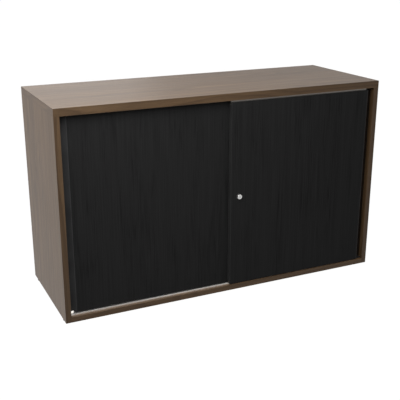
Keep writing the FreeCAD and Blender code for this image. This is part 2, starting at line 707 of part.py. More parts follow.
class Door:
    """One door. Its own X counts from the plain edge towards the grip end."""

    def __init__(self, name, edge, face, length, hand):
        self.name = name
        self.edge = edge
        self.face = face
        self.length = length
        self.hand = hand
        self.board_end = f"{length} - Sizes.grip_width"

    def along(self, distance):
        """A distance from the plain edge, with the sign of the door's hand."""
        return f"{self.hand} * ({distance})"

    def across(self, distance):
        """The same distance as a place in the cabinet."""
        return f"{self.edge} + {self.along(distance)}"

    def body(self, part, level="Layout.door_bottom"):
        """A body whose corner is the door's plain edge, front face and a level."""
        return new_body(f"{self.name}_door_{part}", self.edge, self.face, level)

    def pad_along(self, sketch, length):
        """Pad towards the grip end."""
        return pad(sketch, length, back=self.hand < 0)

    def board(self):
        """Edge band and board, with the roller pockets and the grip's slot."""
        edging = self.body("edging")
        section = new_sketch(edging, "YZ_Plane", "section")
        door_section(section)
        self.pad_along(section, "Sizes.edging_thick")
        body = self.body("panel")
        section = new_sketch(body, "YZ_Plane", "section", self.along("Sizes.edging_thick"))
        door_section(section)
        self.pad_along(section, f"{self.board_end} - Sizes.edging_thick")
        groove = new_sketch(body, "XY_Plane", "grip_slot")
        half = "Sizes.grip_tongue_thick / 2"
        rectangle(
            groove,
            self.along(f"{self.board_end} - Sizes.grip_tongue"),
            f"Layout.door_mid - {half}",
            self.along(self.board_end),
            f"Layout.door_mid + {half}",
        )
        pocket(groove, "Layout.door_high", along_normal=True)
        houses = new_sketch(body, "XY_Plane", "roller_pockets")
        long = "(Sizes.house_long / 2 + Sizes.fit_gap)"
        wide = "(Sizes.house_wide / 2 + Sizes.fit_gap)"
        for centre in self.roller_centres().values():
            rectangle(
                houses,
                self.along(f"{centre} - {long}"),
                f"Layout.door_mid - {wide}",
                self.along(f"{centre} + {long}"),
                f"Layout.door_mid + {wide}",
            )
        pocket(houses, "Sizes.house_high", along_normal=True)
        return body

    def roller_centres(self):
        """Roller centres, named by their side of the door as seen from the front."""
        near = "Sizes.roller_inset"
        far = f"{self.board_end} - Sizes.roller_inset"
        if self.hand > 0:
            return {"left": near, "right": far}
        return {"left": far, "right": near}

    def grip(self):
        """Grip profile: a land beside the board, hollowed away towards the door's end."""
        body = self.body("grip")
        start = self.board_end
        wall = f"{start} + Sizes.grip_wall"
        bend = f"{start} + Sizes.grip_bend"
        tongue_start = f"{start} - Sizes.grip_tongue"
        half = "Sizes.grip_tongue_thick / 2"
        section = new_sketch(body, "XY_Plane", "section")
        steps = [
            (start, "0"),
            (wall, "0"),
            (bend, "Sizes.grip_bend_deep"),
            (self.length, "Sizes.grip_deep"),
            (self.length, "Sizes.door_thick"),
            (start, "Sizes.door_thick"),
            (start, f"Layout.door_mid + {half}"),
            (tongue_start, f"Layout.door_mid + {half}"),
            (tongue_start, f"Layout.door_mid - {half}"),
            (start, f"Layout.door_mid - {half}"),
        ]
        outline(section, [(self.along(across), deep) for across, deep in steps])
        pad(section, "Layout.door_high")
        round_uprights(body, "scoop", [(self.along(bend), "Sizes.grip_bend_deep")], "Sizes.grip_scoop")
        round_uprights(body, "rim", [(self.along(wall), "0")], "Sizes.grip_round")
        rib = "(Sizes.rib_thick / 2 + Sizes.rib_room)"
        groove = new_sketch(body, "YZ_Plane", "rib_groove", self.along(self.board_end))
        rectangle(groove, f"Layout.door_mid - {rib}", "0", f"Layout.door_mid + {rib}", "Sizes.door_groove")
        pocket(groove)
        relief = new_sketch(body, "XZ_Plane", "tenon_relief")
        rectangle(
            relief,
            self.along(f"{tongue_start} - Sizes.fit_gap"),
            "Layout.door_high - Sizes.runner_thick - Sizes.tenon_deep - Sizes.fit_gap",
            self.along(start),
            "Layout.door_high + Sizes.fit_gap",
        )
        pocket(relief)

    def runner(self):
        """Top runner: a flange let into the board, a tenon below and a fin above."""
        body = self.body("top_runner", "Layout.door_top")
        section = new_sketch(body, "YZ_Plane", "section")
        mid = "Layout.door_mid"
        flange = "Sizes.runner_wide / 2"
        fin = "Sizes.fin_thick / 2"
        tenon = "Sizes.tenon_thick / 2"
        under = "-Sizes.runner_thick"
        foot = "-Sizes.runner_thick - Sizes.tenon_deep"
        steps = [
            (f"{mid} - {flange}", "0"),
            (f"{mid} - {flange}", under),
            (f"{mid} - {tenon}", under),
            (f"{mid} - {tenon}", foot),
            (f"{mid} + {tenon}", foot),
            (f"{mid} + {tenon}", under),
            (f"{mid} + {flange}", under),
            (f"{mid} + {flange}", "0"),
            (f"{mid} + {fin}", "0"),
            (f"{mid} + {fin}", "Sizes.fin_high"),
            (f"{mid} - {fin}", "Sizes.fin_high"),
            (f"{mid} - {fin}", "0"),
        ]
        outline(section, steps)
        self.pad_along(section, self.board_end)

    def rollers(self):
        """Two rollers under the board, in housings let into its lower edge."""
        lay_back = turned(UPWARD, BACKWARD)
        mid = f"{self.face} + Layout.door_mid"
        near_cheek = f"{mid} - Sizes.house_wide / 2"
        axle_level = "Layout.door_bottom + Layout.axle_rise"
        housings = []
        axles = []
        for side, centre in self.roller_centres().items():
            across = self.across(centre)
            housings.append((across, mid, "Layout.door_bottom", FreeCAD.Rotation()))
            axles.append((across, near_cheek, axle_level, lay_back))
            roller(f"{self.name}_{side}_roller", across, mid, axle_level)
        copies(f"{self.name}_roller_housings", parts["housing"], housings)
        copies(f"{self.name}_roller_axles", parts["axle"], axles)


def housing_template():
    """Roller housing: a block with a well for the roller, open below, and a groove for the rib."""
    body = template_body("housing_template")
    block = new_sketch(body, "XY_Plane", "block")
    half_long = "Sizes.house_long / 2"
    half_wide = "Sizes.house_wide / 2"
    rectangle(block, f"-{half_long}", f"-{half_wide}", half_long, half_wide)
    pad(block, "Sizes.house_high")
    reach = "(Sizes.tread_radius + Sizes.wheel_tip_room)"
    half = "(Sizes.wheel_wide / 2 + Sizes.wheel_side_room)"
    well = new_sketch(body, "XY_Plane", "wheel_well")
    rectangle(well, f"-{reach}", f"-{half}", reach, half)
    pocket(well, f"Layout.axle_rise + {reach}", along_normal=True)
    rib = "(Sizes.rib_thick / 2 + Sizes.rib_room)"
    groove = new_sketch(body, "YZ_Plane", "rib_groove")
    rectangle(groove, f"-{rib}", "0", rib, "Sizes.door_groove")
    pocket(groove)
    hole = new_sketch(body, "XZ_Plane", "axle_hole")
    circle(hole, "0", "Layout.axle_rise", "Sizes.axle_radius + Sizes.axle_room")
    pocket(hole)
    return body


def axle_template():
    """Roller axle along its own Z axis."""
    pin = document.addObject("Part::Cylinder", "axle_template")
    pin.setExpression("Radius", "Sizes.axle_radius")
    pin.setExpression("Height", "Sizes.house_wide")
    return pin


def roller(label, across, mid, level):
    """Roller: a bored wheel that runs on the rib between the cheeks of its housing."""
    body = new_body(label, across, mid, level)
    profile = new_sketch(body, "XY_Plane", "profile")
    bore = "Sizes.axle_radius + Sizes.axle_room"
    tread = "Sizes.tread_radius - Sizes.tread_gap"
    wide = "Sizes.wheel_wide / 2"
    rectangle(profile, bore, f"-{wide}", tread, wide)
    revolve(profile, "Y_Axis")


# ------------------------------------------------------------------------------ lock
def lock_axis():
    """The lock's axis as a place across the cabinet and a level."""
    return "Layout.front_edge + Sizes.lock_from_edge", "Layout.door_bottom + Sizes.lock_rise"


def lock_body(label, face="Layout.front_face"):
    """A body on the lock's axis, with its origin on a door's front face."""
    across, level = lock_axis()
    return new_body(label, across, face, level)


def turned_about_y(body, name, steps):
    """Revolve an outline given as radius and depth about the lock's axis."""
    profile = new_sketch(body, "XY_Plane", name)
    outline(profile, steps)
    return revolve(profile, "Y_Axis")


def door_cut_for_lock(body):
    """Hole for the push button, and bore and rebate for the lock housing."""
    across = "Sizes.lock_from_edge"
    level = "Sizes.lock_rise"
    hole = new_sketch(body, "XZ_Plane", "lock_hole")
    circle(hole, across, level, "Sizes.plunger_radius + Sizes.button_room")
    pocket(hole, "Sizes.door_thick")
    bore = new_sketch(body, "XZ_Plane", "lock_bore", "-Sizes.barrel_start")
    circle(bore, across, level, "Sizes.barrel_radius + Sizes.fit_gap")
    pocket(bore, "Sizes.door_thick - Sizes.barrel_start")
    rebate = new_sketch(body, "XZ_Plane", "lock_rebate", "-Layout.plate_front")
    wide = "(Sizes.plate_wide / 2 + Sizes.fit_gap)"
    high = "(Sizes.plate_high / 2 + Sizes.fit_gap)"
    rectangle(rebate, f"{across} - {wide}", f"{level} - {high}", f"{across} + {wide}", f"{level} + {high}")
    pocket(rebate, "Sizes.plate_thick")


def lock_housing():
    """Lock housing: a barrel on a plate, with a guide hole for the locking pin."""
    body = lock_body("lock_housing")
    start = "Sizes.barrel_start"
    end = "Layout.plate_front"
    bore = "Sizes.plunger_radius + Sizes.axle_room"
    rim = "Sizes.barrel_radius"
    turned_about_y(body, "barrel", [(bore, start), (rim, start), (rim, end), (bore, end)])
    plate = new_sketch(body, "XZ_Plane", "plate", "-Layout.plate_front")
    wide = "Sizes.plate_wide / 2"
    high = "Sizes.plate_high / 2"
    rectangle(plate, f"-{wide}", f"-{high}", wide, high)
    circle(plate, "0", "0", "Sizes.bolt_pin_radius + Sizes.axle_room")
    pad(plate, "Sizes.plate_thick", back=True)


def lock_moving_parts():
    """Push button with its locking pin, and the key plug in it."""
    body = lock_body("lock_plunger")
    front = "-Sizes.plunger_proud"
    rim = "Sizes.plunger_radius"
    bevel = "Sizes.plunger_bevel"
    plug_bore = "Sizes.plug_radius + Sizes.axle_room"
    plug_floor = f"{front} + Sizes.plug_recess + Sizes.plug_long + Sizes.fit_gap"
    steps = [
        ("0", plug_floor),
        (plug_bore, plug_floor),
        (plug_bore, front),
        (f"{rim} - {bevel}", front),
        (rim, f"{front} + {bevel}"),
        (rim, "Sizes.plunger_deep"),
        ("Sizes.bolt_pin_radius", "Sizes.plunger_deep"),
        ("Sizes.bolt_pin_radius", "Sizes.bolt_pin_end"),
        ("0", "Sizes.bolt_pin_end"),
    ]
    turned_about_y(body, "profile", steps)
    plug = lock_body("lock_plug")
    face = f"{front} + Sizes.plug_recess"
    end = f"{face} + Sizes.plug_long"
    radius = "Sizes.plug_radius"
    turned_about_y(plug, "profile", [("0", face), (radius, face), (radius, end), ("0", end)])
    keyway = new_sketch(plug, "XZ_Plane", "keyway", f"-({face})")
    wide = "Sizes.keyway_wide / 2"
    high = "Sizes.keyway_high / 2"
    rectangle(keyway, f"-{wide}", f"-{high}", wide, high)
    pocket(keyway, "Sizes.keyway_deep")


def keeper():
    """Keeper bush in the rear door, in line with the locking pin."""
    body = lock_body("lock_keeper", "Layout.rear_face")
    bore = "Sizes.keeper_bore"
    rim = "Sizes.keeper_outer"
    long = "Sizes.keeper_long"
    turned_about_y(body, "profile", [(bore, "0"), (rim, "0"), (rim, long), (bore, long)])


def door_cut_for_keeper(body):
    """Hole for the keeper bush, counted back from the rear door's plain edge."""
    across = "Layout.front_edge + Sizes.lock_from_edge - Layout.rear_edge"
    hole = new_sketch(body, "XZ_Plane", "keeper_hole")
    circle(hole, across, "Sizes.lock_rise", "Sizes.keeper_outer + Sizes.fit_gap")
    pocket(hole, "Sizes.keeper_long")


# -------------------------------------------------------------------------- assembly
def build():
    """Make every sub-part of the cabinet."""
    top_panel()
    side_panel("left_side_panel", "-Sizes.cab_width / 2", 1)
    side_panel("right_side_panel", "Layout.inner_half", -1)
    bottom_panel()
    centre_partition()
    back_and_shelves()
    edge_bands()
    carcass_fittings()
    glides()
    tracks()
    stops()
    parts["housing"] = housing_template()
    parts["axle"] = axle_template()
    front = Door("front", "Layout.front_edge", "Layout.front_face", "Layout.front_long", 1)
    rear = Door("rear", "Layout.rear_edge", "Layout.rear_face", "Layout.rear_long", -1)
    cuts = {front: door_cut_for_lock, rear: door_cut_for_keeper}
    for door, cut in cuts.items():
        cut(door.board())
        door.grip()
        door.runner()
        door.rollers()
    lock_housing()
    lock_moving_parts()
    keeper()


def check():
    """Stop unless every object is up to date and every sub-part is a valid solid."""
    document.recompute()
    for item in document.Objects:
        if {"Invalid", "Error"} & set(item.State):
            raise RuntimeError(f"{item.Label} failed: {item.State}")
    for node in nodes:
        shape = node.Shape
        if shape.isNull() or not shape.isValid() or not shape.Solids:
            raise RuntimeError(f"{node.Label} has no valid solid")


build()
check()
os.makedirs("parts", exist_ok=True)
for node in nodes:
    node.Shape.exportStep(f"parts/{node.Label}.step")
print(len(nodes), "sub-parts")
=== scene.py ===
import json
import math

import bmesh
import bpy
from bpy.props import FloatProperty, FloatVectorProperty, IntProperty, PointerProperty
from mathutils import Matrix, Vector

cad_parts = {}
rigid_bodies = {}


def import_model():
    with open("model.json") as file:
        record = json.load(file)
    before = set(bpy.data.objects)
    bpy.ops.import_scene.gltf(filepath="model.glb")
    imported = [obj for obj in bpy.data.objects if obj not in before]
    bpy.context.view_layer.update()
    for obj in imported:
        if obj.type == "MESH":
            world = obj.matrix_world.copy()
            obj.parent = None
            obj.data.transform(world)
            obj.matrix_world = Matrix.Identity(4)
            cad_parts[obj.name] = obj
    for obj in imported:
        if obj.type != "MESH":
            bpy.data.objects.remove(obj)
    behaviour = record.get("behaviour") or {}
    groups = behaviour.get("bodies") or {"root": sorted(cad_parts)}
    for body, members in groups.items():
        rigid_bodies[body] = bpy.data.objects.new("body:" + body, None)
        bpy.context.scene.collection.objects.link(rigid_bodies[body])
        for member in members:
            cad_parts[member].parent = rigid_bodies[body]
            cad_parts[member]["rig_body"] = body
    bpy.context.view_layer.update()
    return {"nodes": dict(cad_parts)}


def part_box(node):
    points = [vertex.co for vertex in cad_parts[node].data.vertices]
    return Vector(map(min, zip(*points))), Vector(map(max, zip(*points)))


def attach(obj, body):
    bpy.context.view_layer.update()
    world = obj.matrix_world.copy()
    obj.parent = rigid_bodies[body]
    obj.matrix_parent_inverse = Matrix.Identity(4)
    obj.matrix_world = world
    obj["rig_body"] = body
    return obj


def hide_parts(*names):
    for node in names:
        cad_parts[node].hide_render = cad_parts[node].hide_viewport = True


bl_info = {
    "name": "Sliding Door Cabinet",
    "version": (1, 0, 0),
    "blender": (4, 5, 0),
    "location": "View3D > Sidebar > Cabinet",
    "description": "Finishes the boards, doors, running gear and lock of a sliding door cabinet",
    "category": "Object",
}

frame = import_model()

# Boards and bands that lie flush against each other, so that the edges between them stay sharp.
CARCASS_BOARDS = (
    "top_panel", "bottom_panel", "left_side_panel", "right_side_panel", "top_front_edging",
    "top_left_edging", "top_right_edging", "left_side_edging", "right_side_edging", "bottom_edging",
)

# Tolerances, in metres and radians.
MERGE = 1e-6  # points this close are one
NEAR = 0.00002  # faces this close are flush
FLAT = math.radians(0.5)  # triangles bent less than this are one face
CORNER = math.radians(35)  # edges bent more than this are corners
FACING = 0.9  # least cosine between a direction and the faces that look along it
ARRIS_STEPS = 3  # strips in a rounded edge
FLAT_LEAD = 100  # how far large flat faces lead the shading, out of 100

RIGHT = Vector((1, 0, 0))
REARWARD = Vector((0, 1, 0))
UP = Vector((0, 0, 1))

# A screw head's recess and dome, in shares of the head's radius and rise.
CROSS_ARM = 0.16  # half the width of an arm
CROSS_REACH = 0.62
CROSS_DEPTH = 0.75
CROSS_TAPER = 0.8
HEAD_DOME = 0.22

# Each soft box of the studio: where it hangs, where it aims, its width and its height, in metres.
SOFT_BOXES = {
    "key": ((-0.5, -1.2, 2.0), (-0.05, 0.0, 0.35), 1.5, 1.5),
    "front": ((-0.6, -1.0, 1.4), (-0.2, 0.0, 0.6), 0.9, 0.9),
    "fill": ((-1.5, 0.0, 1.6), (-0.6, 0.0, 0.6), 2.0, 2.0),
    "rim": ((-0.5, 2.9, 1.65), (-0.3, 0.0, 0.7), 3.0, 1.3),
}
FLOOR_REACH = 30.0  # metres to each side
FLOOR_DROP = 0.0003  # metres from the glides down to the floor
FLOOR_WHITE = 1.11  # strength of the floor's own white, which makes up for the shaded share
SENSOR_WIDTH = 36.0  # millimetres


# ------------------------------------------------------------------------ settings
def colour(name, description, value):
    """A colour setting in linear light."""
    return FloatVectorProperty(name=name, description=description, default=value, size=3,
                               subtype="COLOR", min=0, max=1)


def length(name, description, value):
    """A length setting in metres."""
    return FloatProperty(name=name, description=description, default=value, min=0, unit="LENGTH",
                         precision=5)


def watts(name, description, value):
    """A lamp's strength in watts."""
    return FloatProperty(name=name, description=description, default=value, min=0, unit="POWER")


class CabinetShape(bpy.types.PropertyGroup):
    """Small forms that the finish adds to the cabinet's pieces."""

    board_arris: length("Board arris", "Rounding of the boards' free edges", 0.0004)
    band_arris: length("Band arris", "Rounding of the edge bands", 0.0007)
    moulded_arris: length("Moulded arris", "Rounding of the plastic mouldings", 0.0003)
    metal_arris: length("Metal arris", "Rounding of extruded and turned metal", 0.00015)
    screw_radius: length("Screw head", "Radius of the flat screw heads", 0.0034)
    screw_rise: length("Screw head rise", "Height of a screw head over its seat", 0.0006)
    screw_margin: length("Track screw margin", "From the track's ends to its end screws", 0.08)
    lock_screw_inset: length("Lock screw inset", "From the ends of the lock's plate to its screws", 0.006)
    # The rib's closing end is painted black: painted shade for the dark corner at the right side panel.
    painted_shade_length: length("Coated end", "Black coated length at the closing end of the front rib", 0.032)
    track_screws: IntProperty(name="Track screws", description="Screws in the bottom track", default=5, min=2)


class CabinetColours(bpy.types.PropertyGroup):
    """Colours of the cabinet's finishes, in linear light."""

    walnut: colour("Walnut", "Ground colour of the walnut decor", (0.108, 0.0627, 0.0298))
    walnut_light: colour("Walnut light", "Pale streaks of the decor", (0.157, 0.095, 0.048))
    walnut_dark: colour("Walnut dark", "Growth lines of the decor", (0.048, 0.0257, 0.0115))
    ash: colour("Black ash", "Ground colour of the doors", (0.0128, 0.0128, 0.0128))
    ash_light: colour("Black ash light", "Raised grain of the doors", (0.0181, 0.0181, 0.0181))
    ash_dark: colour("Black ash dark", "Pores of the doors", (0.0086, 0.0086, 0.0086))
    # The door edge bands are a lighter copy of the doors' black: painted light on their narrow faces.
    ash_edge: colour("Black edge band", "Plain edges of the doors", (0.024, 0.024, 0.024))
    chips: colour("Particle board", "Raw edges and drilled holes", (0.50, 0.345, 0.20))
    # The grips are one plastic in two copies: the rear one lighter, painted light; the front one darker,
    # painted shade.
    front_grip: colour("Front grip", "Plastic of the front door's finger grip", (0.0060, 0.0060, 0.0063))
    rear_grip: colour("Rear grip", "Plastic of the rear door's finger grip", (0.0340, 0.0340, 0.0345))
    aluminium: colour("Aluminium", "Bottom track", (0.90, 0.88, 0.85))
    # Aluminium darkened for the top track and runners: painted shade from the top panel above them.
    bronze: colour("Bronze", "Top track and runners", (0.20, 0.185, 0.17))
    nickel: colour("Nickel", "Push button and key plug", (0.575, 0.570, 0.560))
    steel: colour("Steel", "Zinc plated fittings and screws", (0.55, 0.56, 0.58))
    steel_bloom: colour("Zinc bloom", "Bluish clouds of the zinc plate", (0.48, 0.52, 0.60))
    nylon: colour("Nylon", "Rollers", (0.62, 0.61, 0.57))
    moulding: colour("Moulding", "Roller housings and glides", (0.016, 0.016, 0.017))
    rubber: colour("Rubber", "Door stops", (0.020, 0.020, 0.020))
    beech: colour("Beech", "Splines in the corner joints", (0.46, 0.29, 0.16))


class StudioSettings(bpy.types.PropertyGroup):
    """Camera and light of the plain studio."""

    camera_place: FloatVectorProperty(name="Camera place", description="Where the camera stands",
                                      default=(-1.1318, -2.3753, 1.1661), subtype="TRANSLATION")
    camera_turn: FloatProperty(name="Camera turn", description="Turn from looking along +Y",
                               default=math.radians(-25.18), subtype="ANGLE")
    camera_tilt: FloatProperty(name="Camera tilt", description="Tilt below the horizon",
                               default=math.radians(18.53), subtype="ANGLE")
    lens: FloatProperty(name="Lens", description="Focal length on a 36 mm sensor", default=66.97, min=10,
                        unit="CAMERA")
    sky: FloatProperty(name="Sky", description="Even light from all round", default=0.23, min=0)
    key: watts("Key light", "Soft box over the doors", 13.2)
    front: watts("Front light", "Small soft box near the doors", 13.8)
    fill: watts("Fill light", "Wide soft box over the left end", 21.0)
    rim: watts("Rim light", "Wide soft box behind the top", 13.2)
    floor: colour("Floor", "Colour of the floor", (0.40, 0.40, 0.40))
    floor_glow: FloatProperty(name="Floor glow", description="Share of plain white in the floor",
                              default=0.9, min=0, max=1, subtype="FACTOR")


def shape():
    """The sizes in use."""
    return bpy.context.scene.cabinet_shape


def colours():
    """The colours in use."""
    return bpy.context.scene.cabinet_colours


# ------------------------------------------------------------------------- finishes
class Finish:
    """A procedural material that is put together node by node."""

    # Numbers of a Mix node's sockets where it blends colours.
    MIX_SHARE = 0
    MIX_FIRST = 6
    MIX_SECOND = 7
    MIX_RESULT = 2

    def __init__(self, name, roughness, metallic=0.0, specular=0.5):
        self.material = bpy.data.materials.new(name)
        self.material.use_nodes = True
        self.tree = self.material.node_tree
        self.tree.nodes.clear()
        self.shader = self.tree.nodes.new("ShaderNodeBsdfPrincipled")
        output = self.tree.nodes.new("ShaderNodeOutputMaterial")
        self.tree.links.new(self.shader.outputs["BSDF"], output.inputs["Surface"])
        self.shader.inputs["Roughness"].default_value = roughness
        self.shader.inputs["Metallic"].default_value = metallic
        self.shader.inputs["Specular IOR Level"].default_value = specular
        self.place = self.tree.nodes.new("ShaderNodeTexCoord").outputs["Object"]

    def join(self, source, target):
        """Link an output, or set a plain value, to an input."""
        if isinstance(source, bpy.types.NodeSocket):
            self.tree.links.new(source, target)
        else:
            target.default_value = source

    def mapped(self, scale, location=(0, 0, 0)):
        """Object coordinates with a stretch for each axis."""
        node = self.tree.nodes.new("ShaderNodeMapping")
        self.tree.links.new(self.place, node.inputs["Vector"])
        node.inputs["Scale"].default_value = scale
        node.inputs["Location"].default_value = location
        return node.outputs["Vector"]

    def distance(self, vector):
        """Length of a vector."""
        node = self.tree.nodes.new("ShaderNodeVectorMath")
        node.operation = "LENGTH"
        self.tree.links.new(vector, node.inputs[0])
        return node.outputs["Value"]

    def along(self, direction):
        """Distance from the origin along a direction."""
        node = self.tree.nodes.new("ShaderNodeVectorMath")
        node.operation = "DOT_PRODUCT"
        self.tree.links.new(self.place, node.inputs[0])
        node.inputs[1].default_value = direction
        return node.outputs["Value"]

    def noise(self, scale, detail=2.0, roughness=0.5, distortion=0.0, location=(0, 0, 0)):
        """Cloud noise over stretched coordinates, from 0 to 1 about a half."""
        node = self.tree.nodes.new("ShaderNodeTexNoise")
        self.tree.links.new(self.mapped(scale, location), node.inputs["Vector"])
        node.inputs["Scale"].default_value = 1.0
        node.inputs["Detail"].default_value = detail
        node.inputs["Roughness"].default_value = roughness
        node.inputs["Distortion"].default_value = distortion
        return node.outputs["Fac"]

    def math(self, operation, *values):
        """One arithmetic step."""
        node = self.tree.nodes.new("ShaderNodeMath")
        node.operation = operation
        for source, target in zip(values, node.inputs):
            self.join(source, target)
        return node.outputs["Value"]

    def levels(self, source, low, high, bottom=0.0, top=1.0):
        """Stretch the values between two levels and clamp the rest."""
        node = self.tree.nodes.new("ShaderNodeMapRange")
        sockets = {"Value": source, "From Min": low, "From Max": high, "To Min": bottom, "To Max": top}
        for name, value in sockets.items():
            self.join(value, node.inputs[name])
        return node.outputs["Result"]

    def mix(self, amount, first, second):
        """Blend two colours."""
        node = self.tree.nodes.new("ShaderNodeMix")
        node.data_type = "RGBA"
        self.join(amount, node.inputs[self.MIX_SHARE])
        for source, number in ((first, self.MIX_FIRST), (second, self.MIX_SECOND)):
            linked = isinstance(source, bpy.types.NodeSocket)
            self.join(source if linked else (*source, 1.0), node.inputs[number])
        return node.outputs[self.MIX_RESULT]

    def bump(self, height, distance, strength=1.0):
        """Tilt the surface by a height given in shares of a distance in metres."""
        node = self.tree.nodes.new("ShaderNodeBump")
        node.inputs["Distance"].default_value = distance
        node.inputs["Strength"].default_value = strength
        self.join(height, node.inputs["Height"])
        self.tree.links.new(node.outputs["Normal"], self.shader.inputs["Normal"])

    def colour(self, source):
        """Set the surface's colour."""
        self.join(source, self.shader.inputs["Base Color"])

    def roughness(self, source):
        """Set the surface's roughness."""
        self.join(source, self.shader.inputs["Roughness"])


def along_grain(axis, along, across):
    """Scales for a pattern that is drawn out along one axis."""
    return tuple(along if name == axis else across for name in "XYZ")


def evenly(scale):
    """Scales for a pattern that is as fine along each axis."""
    return (scale, scale, scale)


def shaded(shade, share):
    """A colour made darker or lighter by a share."""
    return [min(1.0, channel * share) for channel in shade]


def walnut(axis, tone):
    """Walnut decor on melamine: wavy growth lines, drawn-out streaks, fine fibres and short dark pores."""
    look = colours()
    finish = Finish(f"walnut_{axis.lower()}_{round(100 * tone)}", roughness=0.42, specular=0.21)
    # Growth lines: how many there are, how far they wander, where each starts to darken and is
    # darkest, and how sharp and how dark it is.
    lines_per_metre = 38.0
    wander = 15.0
    early_wood = 0.10
    late_wood = 0.86
    line_contrast = 1.6
    line_depth = 0.56
    # Pores: how dark they are, and how deep beside the height of the fibres.
    pore_depth = 0.60
    pore_sink = 1.5
    slant = {"X": 1.0, "Y": 1.0, "Z": 0.8}
    across = finish.along([0.0 if name == axis else slant[name] for name in "XYZ"])
    drift = finish.noise(along_grain(axis, 0.8, 4.5), detail=3.0, roughness=0.45, distortion=0.3)
    figure = finish.math("MULTIPLY_ADD", across, lines_per_metre, finish.math("MULTIPLY", drift, wander))
    year = finish.math("FRACT", figure)
    rising = finish.levels(year, early_wood, late_wood)
    falling = finish.levels(year, late_wood, 1.0, bottom=1.0, top=0.0)
    lines = finish.math("POWER", finish.math("MULTIPLY", rising, falling), line_contrast)
    streaks = finish.noise(along_grain(axis, 1.2, 54.0), detail=4.0, roughness=0.6, distortion=0.15)
    clouds = finish.noise(along_grain(axis, 1.6, 9.0), location=(3.0, 5.0, 7.0))
    fibres = finish.noise(along_grain(axis, 7.0, 620.0), detail=3.0, roughness=0.6)
    pores = finish.levels(finish.noise(along_grain(axis, 34.0, 1500.0), detail=1.0), 0.58, 0.70)
    # A tone below 1 darkens every colour of the decor: painted shade.
    dark = shaded(look.walnut_dark, tone)
    tint = finish.mix(finish.levels(streaks, 0.36, 0.64), shaded(look.walnut, tone),
                      shaded(look.walnut_light, tone))
    tint = finish.mix(finish.levels(clouds, 0.42, 0.70, top=0.32), tint, dark)
    tint = finish.mix(finish.math("MULTIPLY", lines, line_depth), tint, dark)
    tint = finish.mix(finish.levels(fibres, 0.38, 0.72, top=0.40), tint, dark)
    tint = finish.mix(finish.math("MULTIPLY", pores, pore_depth), tint, dark)
    finish.colour(tint)
    finish.roughness(finish.levels(fibres, 0.3, 0.7, bottom=0.38, top=0.48))
    height = finish.math("SUBTRACT", fibres, finish.math("MULTIPLY", pores, pore_sink))
    finish.bump(height, distance=0.00002, strength=0.4)
    return finish.material


def black_ash(axis):
    """Black decor with an open ash grain that shows mostly in the sheen."""
    look = colours()
    finish = Finish(f"black_ash_{axis.lower()}", roughness=0.50, specular=0.03)
    line_folds = 12.0  # growth lines that the figure's range is folded into
    fibre_rise = 0.4  # height of the fibres beside the depth of the open grain
    figure = finish.noise(along_grain(axis, 0.8, 9.0), detail=3.0, distortion=0.5)
    folded = finish.math("PINGPONG", finish.math("MULTIPLY", figure, line_folds), 1.0)
    fibres = finish.noise(along_grain(axis, 4.0, 300.0), detail=3.0, roughness=0.6)
    pores = finish.levels(finish.noise(along_grain(axis, 9.0, 520.0)), 0.50, 0.64)
    open_grain = finish.math("MULTIPLY", finish.levels(folded, 0.45, 1.0), pores)
    tint = finish.mix(finish.levels(fibres, 0.35, 0.70), look.ash, look.ash_light)
    finish.colour(finish.mix(open_grain, tint, look.ash_dark))
    finish.roughness(finish.levels(open_grain, 0.0, 1.0, bottom=0.46, top=0.64))
    height = finish.math("SUBTRACT", finish.math("MULTIPLY", fibres, fibre_rise), open_grain)
    finish.bump(height, distance=0.00012, strength=0.5)
    return finish.material


def particle_board():
    """Raw board core: pressed chips in several browns with small voids."""
    look = colours()
    finish = Finish("particle_board", roughness=0.85, specular=0.2)
    chips = finish.noise((420.0, 420.0, 800.0), roughness=0.7, distortion=0.8)
    voids = finish.levels(finish.noise((900.0, 900.0, 1500.0), detail=1.0), 0.60, 0.68)
    tint = finish.mix(finish.levels(chips, 0.35, 0.65), look.chips, shaded(look.chips, 0.55))
    # The voids are painted near black: painted shade in their pits.
    finish.colour(finish.mix(voids, tint, shaded(look.chips, 0.2)))
    finish.bump(finish.math("SUBTRACT", chips, voids), distance=0.0002, strength=0.6)
    return finish.material


def moulded(name, ground, roughness, specular):
    """Moulded plastic or rubber: a fine even texture and a slightly uneven tone."""
    finish = Finish(name, roughness=roughness, specular=specular)
    cloud = finish.noise(evenly(14.0), detail=3.0)
    grit = finish.noise(evenly(2600.0))
    finish.colour(finish.mix(finish.levels(cloud, 0.3, 0.7), shaded(ground, 0.85), shaded(ground, 1.15)))
    finish.roughness(finish.levels(grit, 0.3, 0.7, bottom=roughness - 0.05, top=roughness + 0.07))
    finish.bump(grit, distance=0.00002, strength=0.6)
    return finish.material


def extruded_aluminium(name, ground):
    """Anodised extrusion with drawing lines along X."""
    finish = Finish(name, roughness=0.38, metallic=1.0)
    lines = finish.noise((1.5, 1500.0, 1500.0), detail=3.0, roughness=0.7)
    cloud = finish.noise((6.0, 40.0, 40.0))
    finish.colour(finish.mix(finish.levels(cloud, 0.3, 0.7), shaded(ground, 0.92), ground))
    finish.roughness(finish.levels(lines, 0.3, 0.7, bottom=0.32, top=0.46))
    finish.bump(lines, distance=0.00002, strength=0.5)
    return finish.material


def turned_nickel(centre):
    """Nickel plate with the fine rings of facing on a lathe, about an axis along Y."""
    look = colours()
    finish = Finish("turned_nickel", roughness=0.46, metallic=1.0)
    ring_pitch = 0.0002856  # metres between the rings
    radius = finish.distance(finish.mapped((1.0, 0.0, 1.0), (-centre.x, 0.0, -centre.z)))
    rings = finish.math("SINE", finish.math("MULTIPLY", radius, 2 * math.pi / ring_pitch))
    cloud = finish.noise(evenly(180.0), detail=3.0)
    finish.colour(finish.mix(finish.levels(cloud, 0.3, 0.7), shaded(look.nickel, 0.9), look.nickel))
    finish.roughness(finish.levels(cloud, 0.3, 0.7, bottom=0.40, top=0.52))
    finish.bump(rings, distance=0.000004, strength=0.5)
    return finish.material


